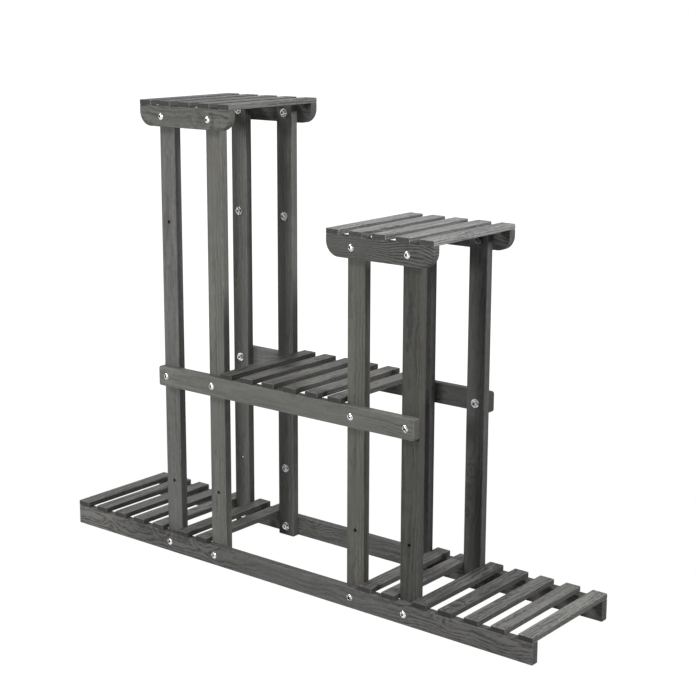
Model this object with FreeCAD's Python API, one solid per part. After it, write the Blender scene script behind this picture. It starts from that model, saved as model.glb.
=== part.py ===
import FreeCAD, Part
import math
import os

from FreeCAD import Vector

# Tiered plant stand in millimetres. +X runs along its length to the right, +Y to the back, +Z up.
# The origin is on the floor, under the middle of the stand.

# Overall sizes
stand_length = 1200.0
stand_depth = 270.0

# Timber sections
rail_thickness = 18.0
rail_height = 42.0
post_thickness = 18.0
post_width = 42.0
slat_width = 32.0
slat_thickness = 11.0
eased_edge = 1.6
beam_corner_radius = 30.0      # lower corners of the top beams
rail_corner_radius = 5.0       # corners of the middle rails' ends

# Places of the towers and shelves
tower_inset = 288.0            # end of the stand to the middle of a tower's outer post
tower_post_spacing = 130.0     # middle to middle of a tower's two posts
beam_overhang = 60.0           # middle of a post to the end of the beams it carries
middle_rail_bottom = 367.0
low_tower_height = 736.0       # top of the posts and beams, under the slats
high_tower_height = 955.0
spare_hole_height = 155.0

# Slats
end_slat_count = 5
tower_slat_count = 2
middle_slat_count = 6
top_slat_count = 5
middle_slat_gap = 3.5          # end slats of the middle shelf to the posts beside them

# Bolts, washers and nuts
bolt_diameter = 6.0
bolt_hole_clearance = 1.5      # hole diameter over bolt diameter
bolt_head_diameter = 14.0
bolt_head_height = 2.6
bolt_socket_width = 5.0        # across the flats of the hexagonal socket
bolt_socket_depth = 2.0
bolt_end_depth = 1.0           # bolt end below the face of its nut
bare_bolt_end_depth = 2.0      # end of the bolt without a nut below the face of its post
washer_diameter = 18.0
washer_thickness = 1.6
nut_width = 10.0               # across the flats
nut_height = 5.0

# Nails through the slats' ends
nail_diameter = 1.8
nail_length = 25.0
nail_head_diameter = 3.0
nail_head_height = 1.0
nail_sink = 0.5                # head below the slat's surface
nail_spacing = 16.0

# Levels and planes that several pieces share
right_end = stand_length / 2
back_face = stand_depth / 2
left = -1
right = 1
front = -1
back = 1
bottom_shelf_seat = rail_height
middle_shelf_seat = middle_rail_bottom + rail_height
bottom_bolt_height = rail_height / 2
middle_bolt_height = middle_rail_bottom + rail_height / 2
low_beam_bolt_height = low_tower_height - rail_height / 2
high_beam_bolt_height = high_tower_height - rail_height / 2
post_outer_plane = back_face - rail_thickness
post_inner_plane = post_outer_plane - post_thickness
outer_post_place = right_end - tower_inset
inner_post_place = outer_post_place - tower_post_spacing

rail_stack = rail_thickness + post_thickness
tower_heights = {left: high_tower_height, right: low_tower_height}
beam_bolt_heights = {left: high_beam_bolt_height, right: low_beam_bolt_height}
tower_names = {left: "high_tower", right: "low_tower"}
side_names = {left: "left", right: "right"}
face_names = {front: "front", back: "rear"}
post_places = {"outer": outer_post_place, "inner": inner_post_place}
all_post_places = [side * place for side in (left, right) for place in post_places.values()]
middle_rail_end = outer_post_place + post_width / 2

# Spare bolt holes as (side, face, post, height, what is in the hole)
spare_holes = [
    (left, front, "outer", low_beam_bolt_height, "nothing"),
    (left, back, "outer", low_beam_bolt_height, "bolt with nut"),
    (left, back, "inner", low_beam_bolt_height, "bolt with nut"),
    (left, front, "outer", spare_hole_height, "nothing"),
    (left, front, "inner", spare_hole_height, "nothing"),
    (left, back, "outer", spare_hole_height, "bare bolt"),
    (left, back, "inner", spare_hole_height, "bolt with nut"),
    (right, front, "outer", spare_hole_height, "nothing"),
    (right, front, "inner", spare_hole_height, "nothing"),
]


def plain_board(x_range, y_range, z_range):
    """A board with sharp edges."""
    size = [high - low for low, high in (x_range, y_range, z_range)]
    corner = Vector(x_range[0], y_range[0], z_range[0])
    return Part.makeBox(size[0], size[1], size[2], corner)


def eased(body):
    """A board with all its edges eased."""
    return body.makeFillet(eased_edge, body.Edges)


def end_corners(body, highest=math.inf):
    """The short edges along y at a rail's ends, up to a height."""
    return [
        edge for edge in body.Edges
        if edge.BoundBox.YLength > max(edge.BoundBox.XLength, edge.BoundBox.ZLength)
        and edge.CenterOfMass.z < highest
    ]


def y_span(face, inner, outer):
    """The y range between two planes, given as distances from the middle, on the front or back."""
    return tuple(sorted((face * inner, face * outer)))


def bolt_hole(x, face, z, inner, outer):
    """A cylinder that cuts a bolt hole along y through a board between two planes."""
    low, high = y_span(face, inner, outer)
    radius = (bolt_diameter + bolt_hole_clearance) / 2
    return Part.makeCylinder(radius, high - low, Vector(x, low, z), Vector(0, 1, 0))


def hexagon(width, height):
    """A hexagonal prism on z = 0, given its width across the flats."""
    radius = width / 2 / math.cos(math.pi / 6)
    corners = [
        Vector(radius * math.cos(turn * math.pi / 3), radius * math.sin(turn * math.pi / 3), 0)
        for turn in range(7)
    ]
    return Part.Face(Part.makePolygon(corners)).extrude(Vector(0, 0, height))


def point_outwards(shape, x, y, z, face):
    """A copy of a fastener made along z, turned to point out of the front or back of the stand."""
    placed = shape.copy()
    placed.rotate(Vector(0, 0, 0), Vector(1, 0, 0), -90 * face)
    placed.translate(Vector(x, y, z))
    return placed


def bolt(shank_length):
    """A bolt with a low round head. Its head's underside is on z = 0 and its shank runs down along z."""
    head_radius = bolt_head_diameter / 2
    dome_radius = (head_radius ** 2 + bolt_head_height ** 2) / (2 * bolt_head_height)
    dome = Part.makeSphere(dome_radius, Vector(0, 0, bolt_head_height - dome_radius))
    head = dome.common(Part.makeCylinder(head_radius, bolt_head_height))
    socket = hexagon(bolt_socket_width, bolt_socket_depth)
    socket.translate(Vector(0, 0, bolt_head_height - bolt_socket_depth))
    shank = Part.makeCylinder(bolt_diameter / 2, shank_length, Vector(0, 0, 0), Vector(0, 0, -1))
    return head.fuse(shank).removeSplitter().cut(socket)


def washer(grip):
    """The washer on the inner end of a bolt that clamps boards of a total thickness of grip."""
    base = Vector(0, 0, -grip - washer_thickness)
    ring = Part.makeCylinder(washer_diameter / 2, washer_thickness, base)
    return ring.cut(Part.makeCylinder(bolt_diameter / 2, washer_thickness, base))


def nut(grip):
    """The nut behind that washer, with its corners turned off on the outer side."""
    base = -grip - washer_thickness - nut_height
    block = hexagon(nut_width, nut_height)
    block = block.common(Part.makeCone(nut_width / 2, nut_width / 2 + nut_height, nut_height))
    block = block.cut(Part.makeCylinder(bolt_diameter / 2, nut_height))
    block.translate(Vector(0, 0, base))
    return block


def nail():
    """A nail that points down, with its head's top on z = 0."""
    head = Part.makeCylinder(nail_head_diameter / 2, nail_head_height, Vector(0, 0, -nail_head_height))
    shank_length = nail_length - nail_head_height
    shank = Part.makeCylinder(nail_diameter / 2, shank_length, Vector(0, 0, -nail_length))
    return head.fuse(shank).removeSplitter()


def nail_pocket():
    """The space of a nail and of the dent over its sunk head."""
    dent = Part.makeCylinder(nail_head_diameter / 2, nail_sink + eased_edge)
    return nail().fuse(dent)


def copy_at(shape, x, y, z):
    """A copy of a shape moved to a point."""
    placed = shape.copy()
    placed.translate(Vector(x, y, z))
    return placed


def spread(first, last, count):
    """Evenly spaced middles from first to last."""
    if count == 1:
        return [first]
    return [first + (last - first) * place / (count - 1) for place in range(count)]


def slats_between(low, high, count):
    """Middles of slats of which the first and last are flush with low and high."""
    return spread(low + slat_width / 2, high - slat_width / 2, count)


def slat_places():
    """Every slat as (name, middle along x, height that it lies on)."""
    places = []
    for side in (left, right):
        end = side * right_end
        outer_post_outside = side * (outer_post_place + post_width / 2)
        outer_post_inside = side * (outer_post_place - post_width / 2)
        inner_post_outside = side * (inner_post_place + post_width / 2)
        end_bay = sorted((end, outer_post_outside))
        tower_bay = sorted((outer_post_inside, inner_post_outside))
        name = side_names[side]
        for number, x in enumerate(slats_between(*end_bay, end_slat_count), 1):
            places.append((f"bottom_{name}_end_slat_{number}", x, bottom_shelf_seat))
        for number, x in enumerate(slats_between(*tower_bay, tower_slat_count), 1):
            places.append((f"bottom_{name}_tower_slat_{number}", x, bottom_shelf_seat))
        middle = side * (outer_post_place + inner_post_place) / 2
        beam_half = tower_post_spacing / 2 + beam_overhang
        top = slats_between(middle - beam_half, middle + beam_half, top_slat_count)
        for number, x in enumerate(top, 1):
            places.append((f"{tower_names[side]}_top_slat_{number}", x, tower_heights[side]))
    shelf_half = inner_post_place - post_width / 2 - middle_slat_gap
    for number, x in enumerate(slats_between(-shelf_half, shelf_half, middle_slat_count), 1):
        places.append((f"middle_slat_{number}", x, middle_shelf_seat))
    return places


def nail_points(slat_x, seat, face):
    """The two nails at one end of a slat, as the points of their heads' tops."""
    y = face * (back_face - rail_thickness / 2)
    z = seat + slat_thickness - nail_sink
    return [(slat_x + across * nail_spacing / 2, y, z) for across in (left, right)]


def nails_in_rail(face, seat, x_range):
    """The pockets of all the nails that enter one rail or beam."""
    pockets = []
    for _, x, slat_seat in slat_places():
        if slat_seat == seat and x_range[0] < x < x_range[1]:
            pockets += [copy_at(nail_pocket(), *point) for point in nail_points(x, seat, face)]
    return pockets


def slat(x, seat):
    """One slat, with its four nail holes."""
    body = eased(plain_board(
        (x - slat_width / 2, x + slat_width / 2),
        (-back_face, back_face),
        (seat, seat + slat_thickness),
    ))
    points = nail_points(x, seat, front) + nail_points(x, seat, back)
    return body.cut([copy_at(nail_pocket(), *point) for point in points])


def rail_blank(face, bottom, x_range):
    """A rail or beam along x, outside the posts, before it is shaped and drilled."""
    return plain_board(
        x_range,
        y_span(face, post_outer_plane, back_face),
        (bottom, bottom + rail_height),
    )


def drilled(body, face, bottom, x_range, bolt_places):
    """A rail or beam with its bolt holes at half its height and its nail holes in its top."""
    bolt_height = bottom + rail_height / 2
    holes = [bolt_hole(x, face, bolt_height, post_outer_plane, back_face) for x in bolt_places]
    return body.cut(holes + nails_in_rail(face, bottom + rail_height, x_range))


def bottom_rail(face):
    """A rail that stands on the floor."""
    span = (-right_end, right_end)
    body = eased(rail_blank(face, 0, span))
    return drilled(body, face, 0, span, all_post_places)


def middle_rail(face):
    """A rail that carries the middle shelf, with the corners of its ends rounded."""
    span = (-middle_rail_end, middle_rail_end)
    body = rail_blank(face, middle_rail_bottom, span)
    body = eased(body.makeFillet(rail_corner_radius, end_corners(body)))
    return drilled(body, face, middle_rail_bottom, span, all_post_places)


def beam(face, side):
    """A short beam over a tower's two posts, with its lower corners rounded."""
    middle = side * (outer_post_place + inner_post_place) / 2
    half_length = tower_post_spacing / 2 + beam_overhang
    span = (middle - half_length, middle + half_length)
    bottom = tower_heights[side] - rail_height
    body = rail_blank(face, bottom, span)
    lower_corners = end_corners(body, highest=bottom + rail_height / 2)
    body = eased(body.makeFillet(beam_corner_radius, lower_corners))
    tower_post_places = [side * place for place in post_places.values()]
    return drilled(body, face, bottom, span, tower_post_places)


def post(side, face, place):
    """One upright, drilled for its rails, its beam and its spare holes."""
    x = side * post_places[place]
    body = eased(plain_board(
        (x - post_width / 2, x + post_width / 2),
        y_span(face, post_inner_plane, post_outer_plane),
        (0, tower_heights[side]),
    ))
    heights = [bottom_bolt_height, middle_bolt_height, beam_bolt_heights[side]]
    heights += [hole[3] for hole in spare_holes if hole[:3] == (side, face, place)]
    holes = [bolt_hole(x, face, z, post_inner_plane, post_outer_plane) for z in heights]
    return body.cut(holes)


def bolts_at(places, grip, seat):
    """Bolts, washers and nuts at a list of (x, face, z), with the heads bearing on one plane."""
    shank_length = grip + washer_thickness + nut_height - bolt_end_depth
    shapes = {"bolts": bolt(shank_length), "washers": washer(grip), "nuts": nut(grip)}
    return {
        kind: [point_outwards(shape, x, face * seat, z, face) for x, face, z in places]
        for kind, shape in shapes.items()
    }


def all_posts():
    """Every post as (side, face, name of its place)."""
    return [
        (side, face, place)
        for side in (left, right)
        for face in (front, back)
        for place in post_places
    ]


def spare_places(content):
    """The places of the spare holes that hold the same thing, as (x, face, z)."""
    return [
        (side * post_places[place], face, z)
        for side, face, place, z, hole_content in spare_holes
        if hole_content == content
    ]


def fasteners():
    """All bolts, washers and nuts in groups by level, and all nails."""
    level_heights = {
        "bottom": {left: bottom_bolt_height, right: bottom_bolt_height},
        "middle": {left: middle_bolt_height, right: middle_bolt_height},
        "top": beam_bolt_heights,
    }
    groups = {}
    for level, heights in level_heights.items():
        places = [(side * post_places[place], face, heights[side]) for side, face, place in all_posts()]
        for kind, shapes in bolts_at(places, rail_stack, back_face).items():
            groups[f"{level}_{kind}"] = shapes
    for kind, shapes in bolts_at(spare_places("bolt with nut"), post_thickness, post_outer_plane).items():
        groups[f"spare_hole_{kind}"] = shapes
    bare_bolt = bolt(post_thickness - bare_bolt_end_depth)
    groups["spare_hole_bolts"] += [
        point_outwards(bare_bolt, x, face * post_outer_plane, z, face)
        for x, face, z in spare_places("bare bolt")
    ]
    groups["slat_nails"] = [
        copy_at(nail(), *point)
        for _, x, seat in slat_places()
        for face in (front, back)
        for point in nail_points(x, seat, face)
    ]
    return groups


def build():
    """Every node of the stand, by name."""
    nodes = {}
    for face in (front, back):
        name = face_names[face]
        nodes[f"bottom_{name}_rail"] = bottom_rail(face)
        nodes[f"middle_{name}_rail"] = middle_rail(face)
        for side in (left, right):
            nodes[f"{tower_names[side]}_{name}_beam"] = beam(face, side)
    for side, face, place in all_posts():
        nodes[f"{tower_names[side]}_{face_names[face]}_{place}_post"] = post(side, face, place)
    for name, x, seat in slat_places():
        nodes[name] = slat(x, seat)
    for name, shapes in fasteners().items():
        nodes[name] = Part.makeCompound(shapes)
    return nodes


os.makedirs("parts", exist_ok=True)
for node_name, node_shape in build().items():
    node_shape.exportStep(f"parts/{node_name}.step")
    print(node_name, len(node_shape.Solids), round(node_shape.Volume, 1), node_shape.isValid())
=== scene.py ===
import math
import random
from collections import namedtuple

import bpy
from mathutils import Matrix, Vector


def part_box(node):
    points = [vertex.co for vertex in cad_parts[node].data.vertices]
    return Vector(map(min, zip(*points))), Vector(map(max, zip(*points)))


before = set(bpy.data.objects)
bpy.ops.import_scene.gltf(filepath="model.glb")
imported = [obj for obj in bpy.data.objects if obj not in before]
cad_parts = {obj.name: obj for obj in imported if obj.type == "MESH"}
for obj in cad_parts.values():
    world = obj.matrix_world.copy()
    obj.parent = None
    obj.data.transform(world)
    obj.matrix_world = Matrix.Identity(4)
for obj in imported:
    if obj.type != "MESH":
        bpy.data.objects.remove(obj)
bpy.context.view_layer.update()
MM = 0.001                           # metres
X, Y, Z = 0, 1, 2

# ---------------------------------------------------------------- camera

IMAGE_WIDTH = 696                    # pixels, of a square picture
CAMERA_PLACE = Vector((1.9229, -2.3389, 1.1787))
CAMERA_AZIMUTH = 39.317              # degrees round from the front, to the right
CAMERA_ELEVATION = 11.884            # degrees above level
FOCAL_PIXELS = 1525.45
OPTICAL_CENTRE = (323.89, 314.48)    # pixels from the left and from the top
SENSOR_WIDTH = 36.0                  # millimetres
FURTHEST_SEEN = 200                  # metres


def add_camera():
    """The camera, level from side to side and looking a little down on the stand."""
    lens = bpy.data.cameras.new("camera")
    lens.sensor_width = SENSOR_WIDTH
    lens.lens = FOCAL_PIXELS / IMAGE_WIDTH * SENSOR_WIDTH
    lens.shift_x = 0.5 - OPTICAL_CENTRE[0] / IMAGE_WIDTH
    lens.shift_y = OPTICAL_CENTRE[1] / IMAGE_WIDTH - 0.5
    lens.clip_end = FURTHEST_SEEN
    turn = math.radians(CAMERA_AZIMUTH)
    rise = math.radians(CAMERA_ELEVATION)
    level = math.cos(rise)
    backwards = Vector((math.sin(turn) * level, -math.cos(turn) * level, math.sin(rise)))
    camera = bpy.data.objects.new("camera", lens)
    camera.location = CAMERA_PLACE
    camera.rotation_mode = "QUATERNION"
    camera.rotation_quaternion = backwards.to_track_quat("Z", "Y")
    bpy.context.scene.collection.objects.link(camera)
    bpy.context.scene.camera = camera


# ---------------------------------------------------------------- shader maths

class Wire:
    """A node's output that can be added, multiplied and compared like a number."""

    def __init__(self, finish, socket):
        self.finish = finish
        self.socket = socket

    def _maths(self, operation, *values):
        return self.finish.add("ShaderNodeMath", {"operation": operation}, values)

    def __add__(self, other):
        return self._maths("ADD", self, other)

    def __radd__(self, other):
        return self._maths("ADD", other, self)

    def __sub__(self, other):
        return self._maths("SUBTRACT", self, other)

    def __rsub__(self, other):
        return self._maths("SUBTRACT", other, self)

    def __mul__(self, other):
        return self._maths("MULTIPLY", self, other)

    def __rmul__(self, other):
        return self._maths("MULTIPLY", other, self)

    def __truediv__(self, other):
        return self._maths("DIVIDE", self, other)

    def __rtruediv__(self, other):
        return self._maths("DIVIDE", other, self)

    def __pow__(self, other):
        return self._maths("POWER", self, other)

    def __rpow__(self, other):
        return self._maths("POWER", other, self)

    def __abs__(self):
        return self._maths("ABSOLUTE", self)

    def least(self, other):
        return self._maths("MINIMUM", self, other)

    def most(self, other):
        return self._maths("MAXIMUM", self, other)

    def part(self):
        """What is left over after the whole number."""
        return self._maths("FRACT", self)

    def above(self, low, high):
        """0 below low and 1 above high, with a smooth slope between."""
        settings = {"interpolation_type": "SMOOTHSTEP"}
        values = {"Value": self, "From Min": low, "From Max": high}
        return self.finish.add("ShaderNodeMapRange", settings, values)

    def below(self, low, high):
        """1 below low and 0 above high, with a smooth slope between."""
        return 1.0 - self.above(low, high)


class Finish:
    """A material, or the room's world, that is built up node by node."""

    def __init__(self, block):
        self.block = block
        block.use_nodes = True
        self.tree = block.node_tree
        self.tree.nodes.clear()

    def add(self, kind, settings, values, output=0):
        """Adds a node of a kind, with its settings, then the values or wires of its sockets."""
        node = self.tree.nodes.new(kind)
        for key, value in settings.items():
            setattr(node, key, value)
        named = values.items() if isinstance(values, dict) else enumerate(values)
        for key, value in named:
            socket = node.inputs[key]
            if isinstance(value, Wire):
                self.tree.links.new(value.socket, socket)
            else:
                socket.default_value = value
        return Wire(self, node.outputs[output]) if node.outputs else None

    def parts(self, vector):
        """The x, y and z of a vector."""
        return [self.add("ShaderNodeSeparateXYZ", {}, {"Vector": vector}, axis) for axis in "XYZ"]

    def place(self):
        """The place on the stand, as x, y and z wires in metres."""
        return self.parts(self.add("ShaderNodeTexCoord", {}, {}, "Object"))

    def facing(self):
        """The surface's outward direction, as x, y and z wires."""
        return self.parts(self.add("ShaderNodeNewGeometry", {}, {}, "Normal"))

    def vector(self, x, y, z):
        return self.add("ShaderNodeCombineXYZ", {}, {"X": x, "Y": y, "Z": z})

    def noise(self, place, sizes, detail, roughness=0.5):
        """Cloudy noise from 0 to 1 with its middle near 0.5, in shapes of three sizes."""
        scaled = self.vector(*[part / size for part, size in zip(place, sizes)])
        values = {"Vector": scaled, "Scale": 1.0, "Detail": detail, "Roughness": roughness}
        return self.add("ShaderNodeTexNoise", {"noise_dimensions": "3D"}, values)

    def blend(self, amount, first, second, how="MIX"):
        """Mixes two colours. The Mix node's colours are its inputs 6 and 7 and its output 2."""
        settings = {"data_type": "RGBA", "blend_type": how, "clamp_factor": True}
        return self.add("ShaderNodeMix", settings, {0: amount, 6: first, 7: second}, 2)

    def bump(self, height, relief, strength):
        """The surface's direction on a relief, in which a height of 1 stands up by relief, in metres."""
        values = {"Height": height, "Distance": relief, "Strength": strength}
        return self.add("ShaderNodeBump", {}, values)

    def surface(self, values):
        """The finished material, from its shader's values and wires."""
        shader = self.add("ShaderNodeBsdfPrincipled", {}, values)
        self.add("ShaderNodeOutputMaterial", {}, {"Surface": shader})
        return self.block


# ---------------------------------------------------------------- wood

# The grain's direction, then the board's wider and thinner directions across the grain
RAIL_WAY = (X, Z, Y)
POST_WAY = (Z, X, Y)
SLAT_WAY = (Y, X, Z)

WASH = (0.165, 0.165, 0.159, 1.0)        # grey wash over softwood
DEEP_WASH = (0.05, 0.049, 0.047, 1.0)    # the wash where it sank into a late ring or an open pore
WORN_WASH_AND_HIGHLIGHT = (0.268, 0.268, 0.26, 1.0)    # the wash rubbed thin over an arris, and a painted highlight along it
BARE_BROWN = (0.128, 0.104, 0.082, 1.0)  # wood that shows through the wash
# the dark of end grain, also the colour of painted shade on the narrow sides
END_GRAIN_AND_SIDE_SHADE = (0.03, 0.028, 0.026, 1.0)

# Lengths in millimetres
RING_WIDTH = 4.3
RING_RIPPLE = 5                          # how far a ring wavers
PITH_SIDEWAYS = 18                       # how far the pith was from the board's middle, at most
PITH_DEPTHS = (16, 45)                   # how far the pith was behind or before the board's middle
PITH_LEAN = 0.035                        # how much the pith leaned along the board, at most
CALM_FADE = 70                           # over which a calm stretch begins and ends, each way
WORN_AND_HIGHLIGHT_WIDTH = 2.2                         # of an arris that is rubbed and has a painted highlight
GRAIN_RELIEF = 0.45

# How strongly the wash is darker all over, where the rings show, in late wood, in knots and so on
EVEN_DARKNESS = 0.05
FIGURE_DARKNESS = 0.25
RING_DARKNESS = 0.75
KNOT_DARKNESS = 0.45
FIBRE_DARKNESS = 1.7
STREAK_DARKNESS = 1.9
BLOTCH_DARKNESS = 1.2
PORE_DARKNESS = 0.3

BROWN_SHARE = 0.4                        # of the wood's own brown where it shows most
KNOT_BROWN = 0.3                         # the same in a knot
WORN_AND_HIGHLIGHT_SHARE = 0.32                        # of an arris's paler wash and painted highlight

# Knots on some boards: along and across from the board's middle, and their radius, in millimetres
KNOTS = {
    "bottom_front_rail": ((-497, -2, 5), (-336, 23, 7), (-208, 25, 8), (395, 17, 4)),
    "bottom_rear_rail": ((-120, 6, 6), (330, -9, 7)),
    "middle_front_rail": ((40, 19, 6),),
    "middle_rear_rail": ((-60, -5, 6),),
    "high_tower_front_beam": ((52, -6, 6),),
    "low_tower_rear_beam": ((-60, 8, 6),),
    "low_tower_rear_outer_post": ((-120, -8, 5),),
    "bottom_right_end_slat_2": ((-96, 4, 5),),
    "bottom_right_end_slat_5": ((30, -7, 4),),
    "middle_slat_5": ((20, 6, 5),),
    "high_tower_top_slat_2": ((-40, 5, 5),),
}
KNOT_LENGTH = 1.7                        # of a knot along the grain, for its width of 1
KNOT_SWELL = 1.4                         # how far a knot pushes the rings aside, for its radius of 1

# Stretches of some boards, along from the board's middle, where the figure hardly shows
CALM_STRETCHES = {
    "low_tower_front_beam": (-200, 0),
    "bottom_front_rail": (-130, 280),
    "middle_front_rail": (-250, 230),
}

# Boards lighter towards their left end, as painted light falling off to the right: from the left end
# to the first place along from the board's middle, by the share that comes third, and not from the
# second place on
PALE_ENDS = {
    "bottom_front_rail": (-540, -390, 0.5),
    "bottom_rear_rail": (-150, 450, 0.35),
    "middle_front_rail": (-330, -180, 0.22),
    # with its low tone, this leaves painted shade on the rail's right end
    "middle_rear_rail": (-250, 50, 1.35),
}

# Where the pith of some boards was, across and deep from the board's middle
PITHS = {
    "low_tower_front_beam": (-52, 16),
}

# way is the order of the board's directions, wander how far the pith strays from a straight line, in
# millimetres, end_soak how much the end grain darkened and side_soak how much painted shade darkens the
# narrow sides
Cut = namedtuple("Cut", "way wander end_soak side_soak")

# Pieces by a part of their names; the first that fits counts
CUTS = {
    "rail": Cut(RAIL_WAY, 46, 0.4, 0.0),
    "beam": Cut(RAIL_WAY, 60, 0.0, 0.0),
    "post": Cut(POST_WAY, 22, 0.5, 0.0),
    # painted shade on slats' narrow sides where a neighbour shades them, little on the outermost top
    # slats
    "top_slat_5": Cut(SLAT_WAY, 30, 0.8, 0.05),
    "right_end_slat": Cut(SLAT_WAY, 30, 0.94, 0.5),
    "slat": Cut(SLAT_WAY, 30, 0.8, 0.5),
}

# tone is how light the wash came out, on some boards with painted light and shade, and blue how cool,
# figure how strongly the rings show through it and brushing how strongly the fibres do
Wash = namedtuple("Wash", "tone figure brushing blue")

# Boards by how their names start; the first that fits counts
WASHES = {
    "bottom_front_rail": Wash(1.06, 0.85, 1.0, 0.99),
    "bottom_rear_rail": Wash(0.83, 0.8, 0.9, 1.0),
    "middle_front_rail": Wash(1.13, 0.5, 0.5, 0.95),
    # painted shade: a low tone that darkens this rail's right end
    "middle_rear_rail": Wash(0.56, 0.9, 0.9, 1.0),
    "high_tower_front_beam": Wash(1.1, 0.8, 0.8, 0.96),
    # painted light and shade: the front posts' tones fall from left to right, as the light on them does
    "high_tower_front_inner": Wash(1.12, 0.45, 0.45, 0.95),
    "high_tower_front_outer": Wash(1.1, 0.4, 0.6, 1.0),
    "high_tower_rear_beam": Wash(0.8, 0.5, 0.7, 1.0),
    "high_tower_rear": Wash(0.99, 0.45, 0.45, 0.98),
    "high_tower_top_slat": Wash(1.53, 0.9, 1.1, 1.03),
    "low_tower_front_beam": Wash(0.86, 1.2, 0.8, 0.98),
    "low_tower_rear_beam": Wash(0.85, 1.0, 0.8, 1.02),
    # painted shade: the low tower's outer front post and rear posts are darker for the shade on them
    "low_tower_front_outer": Wash(0.59, 0.6, 0.6, 0.95),
    "low_tower_front_inner": Wash(0.9, 0.5, 0.45, 0.92),
    "low_tower_rear": Wash(0.64, 0.5, 0.6, 1.02),
    "low_tower_top_slat": Wash(2.3, 1.0, 1.2, 1.03),
    "bottom_left_end_slat": Wash(1.66, 0.9, 1.0, 0.99),
    # painted shade: slats 3, 2 and 1 at the right end are darker, for the shade over them
    "bottom_right_end_slat_5": Wash(1.6, 0.65, 1.2, 0.99),
    "bottom_right_end_slat_4": Wash(1.36, 0.75, 1.2, 0.99),
    "bottom_right_end_slat_3": Wash(1.16, 1.0, 1.2, 0.98),
    "bottom_right_end_slat": Wash(0.97, 1.2, 1.3, 0.98),
    "middle_slat": Wash(1.2, 0.9, 0.9, 0.97),
    "": Wash(1.0, 0.8, 0.9, 1.0),
}


class Board:
    """A board with the finish that it gets, measured in millimetres from its middle.

    Its three directions are run, along the grain, and across and deep, over its width and thickness.
    """

    def __init__(self, name, way):
        low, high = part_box(name)
        self.name = name
        self.dice = random.Random(name)
        self.finish = Finish(bpy.data.materials.new(f"{name} wood"))
        self.log_start = self.dice.uniform(-4000, 4000)
        place = self.finish.place()
        facing = self.finish.facing()
        self.offsets = [(place[axis] - (low[axis] + high[axis]) / 2) / MM for axis in way]
        self.half_sizes = [(high[axis] - low[axis]) / 2 / MM for axis in way]
        self.end_face, self.side_face = [abs(facing[axis]).above(0.75, 0.95) for axis in way[:2]]

    def cloudy(self, length, width, detail, roughness=0.5, elsewhere=False):
        """Noise in shapes of a length along the grain and a width, from either of two places."""
        run, across, deep = self.offsets
        start = -self.log_start if elsewhere else self.log_start
        place = (run + start, across, deep)
        return self.finish.noise(place, (length, width, width), detail, roughness)

    def from_arris(self):
        """How far a place is from the nearest edge of the board."""
        depths = [half - abs(offset) for half, offset in zip(self.half_sizes, self.offsets)]
        first, second, third = depths
        return first.least(second).most(first.most(second).least(third))

    def pith(self):
        """Where the log's pith was, across and deep, and how much it leaned along the board."""
        lean = self.dice.uniform(-PITH_LEAN, PITH_LEAN)
        across = self.dice.uniform(-PITH_SIDEWAYS, PITH_SIDEWAYS)
        deep = self.dice.choice((-1, 1)) * self.dice.uniform(*PITH_DEPTHS)
        across, deep = PITHS.get(self.name, (across, deep))
        return across, deep, lean

    def rings(self, wander):
        """How much of each place is dark late wood, and how much is knot."""
        run, across, deep = self.offsets
        sway = self.cloudy(170, 90, detail=1)
        ripple = self.cloudy(30, 14, detail=2, elsewhere=True)
        pith_across, pith_deep, lean = self.pith()
        from_pith_across = across - pith_across - run * lean + (sway - 0.5) * wander
        from_pith_deep = deep - pith_deep - run * lean * 0.6
        from_pith = (from_pith_across ** 2 + from_pith_deep ** 2) ** 0.5
        radius = from_pith + (ripple - 0.5) * RING_RIPPLE
        knot = 0.0
        for knot_run, knot_across, size in KNOTS.get(self.name, ()):
            along = (run - knot_run) / KNOT_LENGTH
            from_knot = (along ** 2 + (across - knot_across) ** 2) ** 0.5 / size
            radius = radius + from_knot.below(0.3, 4.0) * (size * KNOT_SWELL)
            knot = from_knot.below(0.5, 1.2) * (ripple * 1.2 - 0.1) + knot
        # Late wood comes on slowly through a ring and ends sharply
        ring = (radius / RING_WIDTH).part()
        late_wood = ring.above(0.15, 0.8) * ring.below(0.82, 1.0)
        return late_wood, knot

    def lively(self):
        """How strongly the figure shows here: more in some stretches of the board than in others."""
        run = self.offsets[0]
        if self.name in CALM_STRETCHES:
            start, end = CALM_STRETCHES[self.name]
            after_start = run.above(start - CALM_FADE, start + CALM_FADE)
            calm = after_start * run.below(end - CALM_FADE, end + CALM_FADE)
        else:
            calm = self.cloudy(190, 60, detail=1).above(0.45, 0.62)
        return 1.15 - calm * 0.7

    def lightness(self, tone):
        """How light a wash of a tone is here: it is a little cloudy, and has painted light towards a
        pale end.
        """
        level = (self.cloudy(120, 30, detail=3) * 0.5 + 0.75) * tone
        if self.name in PALE_ENDS:
            pale_until, plain_from, share = PALE_ENDS[self.name]
            # painted light, lighter towards the left end
            level = level * (self.offsets[0].below(pale_until, plain_from) * share + 1.0)
        return level


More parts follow.
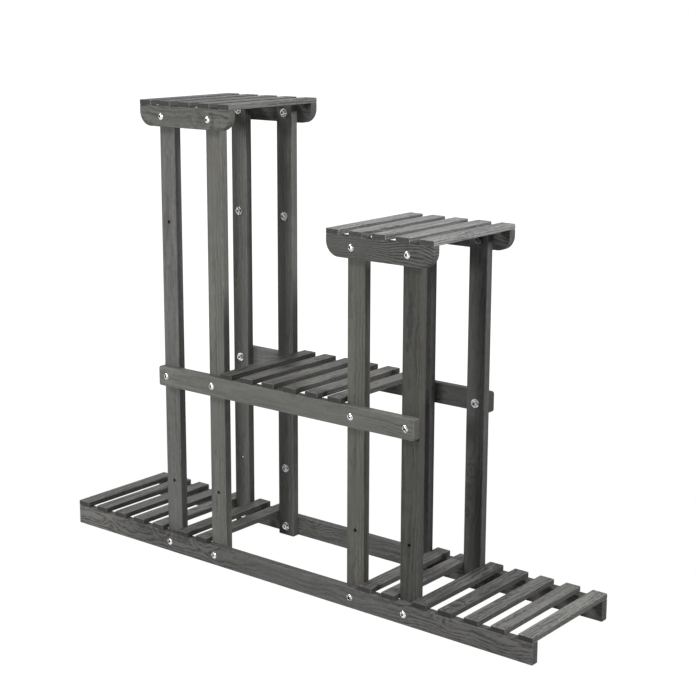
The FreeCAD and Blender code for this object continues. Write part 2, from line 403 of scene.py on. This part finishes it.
def wood(name, wash, cut):
    """Brushed softwood under a grey wash, cut from a log of its own."""
    board = Board(name, cut.way)
    finish = board.finish
    late_wood, knot = board.rings(cut.wander)
    lively = board.lively()
    fibre = board.cloudy(26, 0.5, detail=3, roughness=0.6)
    streak = board.cloudy(130, 3.2, detail=3, roughness=0.62)
    blotch = board.cloudy(11, 5, detail=2, elsewhere=True)
    pore = board.cloudy(9, 0.9, detail=1, elsewhere=True).above(0.6, 0.7)
    brown = board.cloudy(60, 9, detail=3, elsewhere=True).above(0.52, 0.72)
    # rubbed arrises, which also carry a painted highlight
    rubbed_and_highlit = board.cloudy(22, 7, detail=2).above(0.38, 0.6)
    worn_and_highlit = board.from_arris().below(0.4, WORN_AND_HIGHLIGHT_WIDTH) * rubbed_and_highlit

    # The wash sinks into late wood and open fibres
    rings = (late_wood - 0.35) * (RING_DARKNESS * wash.figure)
    soaked = (
        (0.5 - fibre) * FIBRE_DARKNESS
        + (0.5 - streak) * STREAK_DARKNESS
        + (0.5 - blotch) * BLOTCH_DARKNESS
        + pore * PORE_DARKNESS
    )
    all_over = EVEN_DARKNESS + FIGURE_DARKNESS * wash.figure
    darkness = (rings + soaked * wash.brushing) * lively + knot * KNOT_DARKNESS + all_over
    colour = finish.blend(darkness, WASH, DEEP_WASH)

    # Brown shows through it, least where the wash is palest, and arrises are rubbed and have a painted
    # highlight
    brown_share = BROWN_SHARE / max(wash.tone, 1.0)
    colour = finish.blend(brown * lively * brown_share + knot * KNOT_BROWN, colour, BARE_BROWN)
    # paler rubbed wash and a painted highlight on the arrises
    colour = finish.blend(worn_and_highlit * WORN_AND_HIGHLIGHT_SHARE, colour, WORN_WASH_AND_HIGHLIGHT)
    level = board.lightness(wash.tone)
    tint = finish.vector(level, level, level * wash.blue)
    colour = finish.blend(1.0, colour, tint, "MULTIPLY")
    # end grain darkens, and painted shade darkens the narrow sides
    soak_and_side_shade = board.end_face * cut.end_soak + board.side_face * cut.side_soak
    colour = finish.blend(soak_and_side_shade, colour, END_GRAIN_AND_SIDE_SHADE)

    # Brushing leaves fibres and early wood proud, and opens the pores
    brushed = (fibre * 0.9 - pore * 0.5) * wash.brushing
    height = brushed + (1.0 - late_wood) * 0.3 - worn_and_highlit * 0.2
    return finish.surface({
        "Base Color": colour,
        "Roughness": 0.66 + fibre * 0.2 - worn_and_highlit * 0.08,
        "Specular IOR Level": 0.32,
        "Normal": finish.bump(height, GRAIN_RELIEF * MM, 0.7),
    })


# ---------------------------------------------------------------- metal

ZINC = (0.82, 0.83, 0.84, 1.0)
DULL_ZINC = (0.13, 0.131, 0.133, 1.0)
# the colour of painted shade on steel
SHADED_STEEL = (0.035, 0.035, 0.035, 1.0)
NAIL_STEEL = (0.30, 0.295, 0.29, 1.0)
NAIL_RUST = (0.13, 0.085, 0.055, 1.0)

# Lengths and places in millimetres. A seat is how far from the stand's middle, to the front or the
# back, the face under a bolt's head lies
THREAD_PITCH = 1.0
METAL_RELIEF = 0.12
RAIL_SEAT = 135.0                    # of the bolts through rails and beams
SPARE_SEAT = 117.0                   # of the bolts in spare holes of the posts
SEATS_PART = 126.5                   # between the two seats
SUNKEN_END = 97.0                    # nearer the middle than this, a bolt is inside its nut
SOCKET_FLOOR = (0.4, 1.0)            # above its seat, in a bolt's head
BARE_END = (-312.0, 101.0, 155.0)    # the end of the bolt without a nut
CHAMFER_RADII = (2.1, 4.0)           # of the ring of painted shade on that end
SHADE_CORNER = (210.0, 60.0, 620.0)   # right of, behind and above it, the steel gets painted shade
SHADE_CORNER_FADE = 10.0
SHADE_CORNER_DARKNESS = 0.85
HOLLOW_SHADE_DARKNESS = 0.9                # of the painted shade in sockets, on sunken ends and on the chamfer

# Heights on the metal's relief
GRIT_HEIGHT = 0.25
GROOVE_HEIGHT = 5


def bolt_shade(place, along):
    """Painted shade inside bolts' sockets, on their ends sunk in the nuts and on the bare end's chamfer.

    along is how far a surface faces along its bolt.
    """
    depth = abs(place[Y])
    in_rail = depth.above(SEATS_PART - 0.5, SEATS_PART + 0.5)
    over_seat = depth - SPARE_SEAT - in_rail * (RAIL_SEAT - SPARE_SEAT)
    socket_walls = over_seat.above(0.2, 0.4) * along.below(0.25, 0.45)
    low, high = SOCKET_FLOOR
    at_floor = over_seat.above(low, low + 0.1) * over_seat.below(high - 0.2, high)
    socket_floor = at_floor * along.above(0.9, 0.97)
    sunken_end = depth.below(SUNKEN_END - 1, SUNKEN_END + 1)
    from_end = [abs(value - middle) for value, middle in zip(place, BARE_END)]
    end_radius = (from_end[X] ** 2 + from_end[Z] ** 2) ** 0.5
    inner, outer = CHAMFER_RADII
    in_ring = end_radius.above(inner - 0.5, inner) * end_radius.below(outer, outer + 1.0)
    chamfer = from_end[Y].below(0.5, 1.0) * in_ring
    return socket_walls.most(socket_floor).most(sunken_end).most(chamfer)


def metal(name, clean, stained, stain, roughness, threaded=False):
    """Plated or plain steel that has stained in clouds, over more of it the higher stain is.

    A threaded piece also has its grooves and painted shade in its socket and on its ends.
    """
    finish = Finish(bpy.data.materials.new(name))
    place = [part / MM for part in finish.place()]
    cloud = finish.noise(place, (3.2, 3.2, 3.2), detail=3, roughness=0.6)
    grit = finish.noise(place, (0.3, 0.3, 0.3), detail=2)
    age = finish.noise(place, (70, 70, 70), detail=1)
    stained_part = (cloud + (age - 0.5) * 0.5).above(0.6 - stain, 0.7 - stain)
    # painted shade on the fasteners at the low tower's rear outer top
    corner_shade = 1.0
    for value, edge in zip(place, SHADE_CORNER):
        corner_shade = value.above(edge, edge + SHADE_CORNER_FADE) * corner_shade
    height = grit * GRIT_HEIGHT
    colour = finish.blend(stained_part, clean, stained)
    colour = finish.blend(corner_shade * SHADE_CORNER_DARKNESS, colour, SHADED_STEEL)
    if threaded:
        along = abs(finish.facing()[Y])
        groove = abs((place[Y] / THREAD_PITCH).part() - 0.5) * 2
        height = height + groove * along.below(0.3, 0.6) * GROOVE_HEIGHT
        # painted shade in the sockets, on the sunken ends and on the bare end's chamfer
        hollow_shade = bolt_shade(place, along)
        colour = finish.blend(hollow_shade * HOLLOW_SHADE_DARKNESS, colour, SHADED_STEEL)
    return finish.surface({
        "Base Color": colour,
        "Metallic": 1.0,
        "Roughness": roughness + cloud * 0.12 + stained_part * 0.15,
        "Normal": finish.bump(height, METAL_RELIEF * MM, 0.6),
    })


# ---------------------------------------------------------------- finishes on the stand

def fastener_finishes():
    """The materials of the fasteners, by the last word of their names."""
    return {
        "bolts": metal("zinc plated bolts", ZINC, DULL_ZINC, 0.08, 0.18, threaded=True),
        "washers": metal("zinc plated washers", ZINC, DULL_ZINC, 0.13, 0.28),
        "nuts": metal("zinc plated nuts", ZINC, DULL_ZINC, 0.11, 0.2),
        "nails": metal("nail heads", NAIL_STEEL, NAIL_RUST, 0.2, 0.4),
    }


def board_finish(name):
    """The material of one board, whose wash is a little lighter or darker than its neighbours'."""
    cut = next(cut for kind, cut in CUTS.items() if kind in name)
    wash = next(wash for start, wash in WASHES.items() if name.startswith(start))
    tone = wash.tone * random.Random(f"{name} tone").uniform(0.95, 1.05)
    return wood(name, wash._replace(tone=tone), cut)


def finish_the_stand():
    fasteners = fastener_finishes()
    for name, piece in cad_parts.items():
        kind = name.split("_")[-1]
        material = fasteners[kind] if kind in fasteners else board_finish(name)
        piece.data.materials.clear()
        piece.data.materials.append(material)


# ---------------------------------------------------------------- floor, background and light

WHITE = (1.0, 1.0, 1.0, 1.0)
AMBIENT = 0.08                       # the room's light on the stand
ROOM_SHINE = 0.2                     # how much of the room's white shows in bright metal
FLOOR_SHINE = 1.0                    # the same for the floor's white
FLOOR_SIZE = 120                     # metres
FLOOR_GREY = (0.355, 0.355, 0.355, 1.0)
FLOOR_GLOW = 1.12                    # how bright the floor looks by itself
FLOOR_SHADE = 0.12                   # how much of the floor's look near the stand is the light on it
SHADE_REACH = (0.9, 2.0)             # metres from the stand's middle over which that share fades out
LAMP_AIM = Vector((0, 0, 0.45))      # in the middle of the stand

# Each lamp's name, its place, its width in metres and its power in watts
LAMPS = (
    ("left lamp", (-1.9, -2.2, 2.6), 0.8, 39),
    ("front lamp", (0, -3.2, 1.2), 0.4, 43),
    ("right lamp", (2.6, 0, 2.4), 0.6, 68),
    ("rear left lamp", (-2.0, 2.4, 1.4), 1.0, 29),
    ("rear right lamp", (3.0, 2.2, 1.2), 0.8, 12),
)


def seen_directly(finish, shine_share):
    """1 for what the camera sees itself, shine_share in a shine and 0 for light on the stand."""
    camera = finish.add("ShaderNodeLightPath", {}, {}, "Is Camera Ray")
    shine = finish.add("ShaderNodeLightPath", {}, {}, "Is Glossy Ray")
    through = finish.add("ShaderNodeLightPath", {}, {}, "Is Transmission Ray")
    return camera.most(shine * shine_share).most(through)


def add_room():
    """A white room whose light on the stand is softer than it looks."""
    world = bpy.data.worlds.new("white room")
    bpy.context.scene.world = world
    finish = Finish(world)
    looks = finish.add("ShaderNodeBackground", {}, {"Color": WHITE, "Strength": 1.0})
    lights = finish.add("ShaderNodeBackground", {}, {"Color": WHITE, "Strength": AMBIENT})
    mixed = finish.add("ShaderNodeMixShader", {}, (seen_directly(finish, ROOM_SHINE), lights, looks))
    finish.add("ShaderNodeOutputWorld", {}, {"Surface": mixed})


def add_floor():
    """A pale floor that keeps the stand's soft shadow."""
    bpy.ops.mesh.primitive_plane_add(size=FLOOR_SIZE, location=(0, 0, 0))
    floor = bpy.context.object
    floor.name = "floor"
    finish = Finish(bpy.data.materials.new("white floor"))
    diffuse = finish.add("ShaderNodeBsdfDiffuse", {}, {"Color": FLOOR_GREY})
    glow = finish.add("ShaderNodeEmission", {}, {"Color": WHITE, "Strength": FLOOR_GLOW})
    x, y, _ = finish.place()
    from_middle = (x ** 2 + y ** 2) ** 0.5
    shaded = from_middle.below(*SHADE_REACH) * FLOOR_SHADE
    share = seen_directly(finish, FLOOR_SHINE) * (1.0 - shaded)
    mixed = finish.add("ShaderNodeMixShader", {}, (share, diffuse, glow))
    finish.add("ShaderNodeOutputMaterial", {}, {"Surface": mixed})
    floor.data.materials.append(finish.block)


def add_lamp(name, place, width, power):
    """A square soft lamp that faces the stand."""
    light = bpy.data.lights.new(name, "AREA")
    light.shape = "SQUARE"
    light.size = width
    light.energy = power
    lamp = bpy.data.objects.new(name, light)
    lamp.location = place
    lamp.rotation_mode = "QUATERNION"
    lamp.rotation_quaternion = (Vector(place) - LAMP_AIM).to_track_quat("Z", "Y")
    bpy.context.scene.collection.objects.link(lamp)


add_camera()
finish_the_stand()
add_room()
add_floor()
for name, place, width, power in LAMPS:
    add_lamp(name, place, width, power)
bpy.context.scene.view_settings.view_transform = "Standard"
